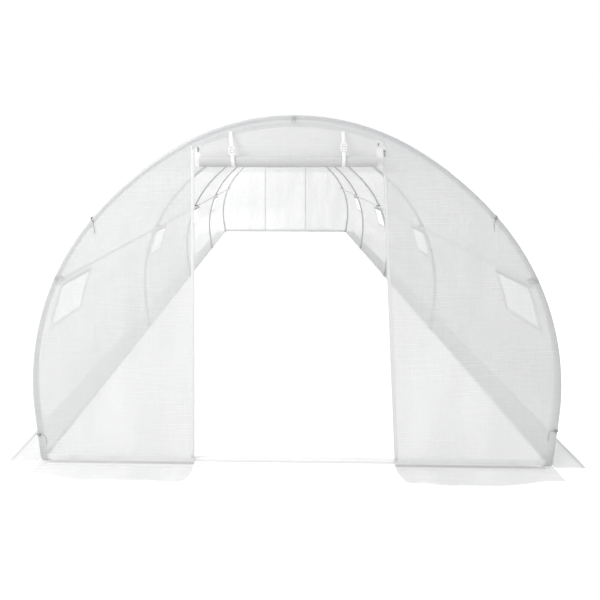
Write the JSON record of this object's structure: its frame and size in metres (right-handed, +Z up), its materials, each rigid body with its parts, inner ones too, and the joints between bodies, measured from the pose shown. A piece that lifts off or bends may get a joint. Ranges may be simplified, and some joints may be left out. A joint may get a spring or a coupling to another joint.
{
  "type": "polytunnel greenhouse",
  "caption": "Walk-in arched tunnel greenhouse: bent tube hoops and purlins under a white woven sheet, with side windows, ground skirts and a rolled-up door.",
  "frame": {"origin": "centre of the footprint at ground level", "axes": "+Z up, +X to the right seen from the doorway, +Y from the doorway to the closed end"},
  "size_m": [3.255, 6.226, 1.9751],
  "materials": {
    "sheet": "white translucent woven polyethylene sheet with a fine reinforcing grid",
    "hoop_tube": "galvanised steel tube",
    "rail_tube": "galvanised steel tube",
    "clamp": "moulded black plastic",
    "foot": "galvanised steel connector, darkened",
    "screen": "fine white insect mesh",
    "buckle": "moulded white plastic",
    "strap": "white webbing"
  },
  "bodies": {
    "root": {"door_roll": "sheet", "door_straps": "strap", "foot_connectors": "foot", "front_base_rail": "rail_tube", "front_left_panel": "sheet", "front_right_panel": "sheet", "front_skirt": "sheet", "front_transom": "sheet", "front_zips": "strap", "hoop_1": "hoop_tube", "hoop_2": "hoop_tube", "hoop_3": "hoop_tube", "hoop_4": "hoop_tube", "hoop_5": "hoop_tube", "left_base_rail": "rail_tube", "left_clamps": "clamp", "left_lower_wall": "sheet", "left_purlin": "rail_tube", "left_roof": "sheet", "left_shoulder": "sheet", "left_skirt": "sheet", "left_upper_wall": "sheet", "left_window_wall": "sheet", "rear_base_rail": "rail_tube", "rear_door": "sheet", "rear_left_panel": "sheet", "rear_right_panel": "sheet", "rear_skirt": "sheet", "rear_transom": "sheet", "rear_zips": "strap", "ridge_clamps": "clamp", "ridge_purlin": "rail_tube", "right_base_rail": "rail_tube", "right_clamps": "clamp", "right_lower_wall": "sheet", "right_purlin": "rail_tube", "right_roof": "sheet", "right_shoulder": "sheet", "right_skirt": "sheet", "right_upper_wall": "sheet", "right_window_wall": "sheet", "roof_crown": "sheet", "strap_buckles": "buckle", "window_flaps": "sheet", "window_screens": "screen"}
  },
  "joints": []
}
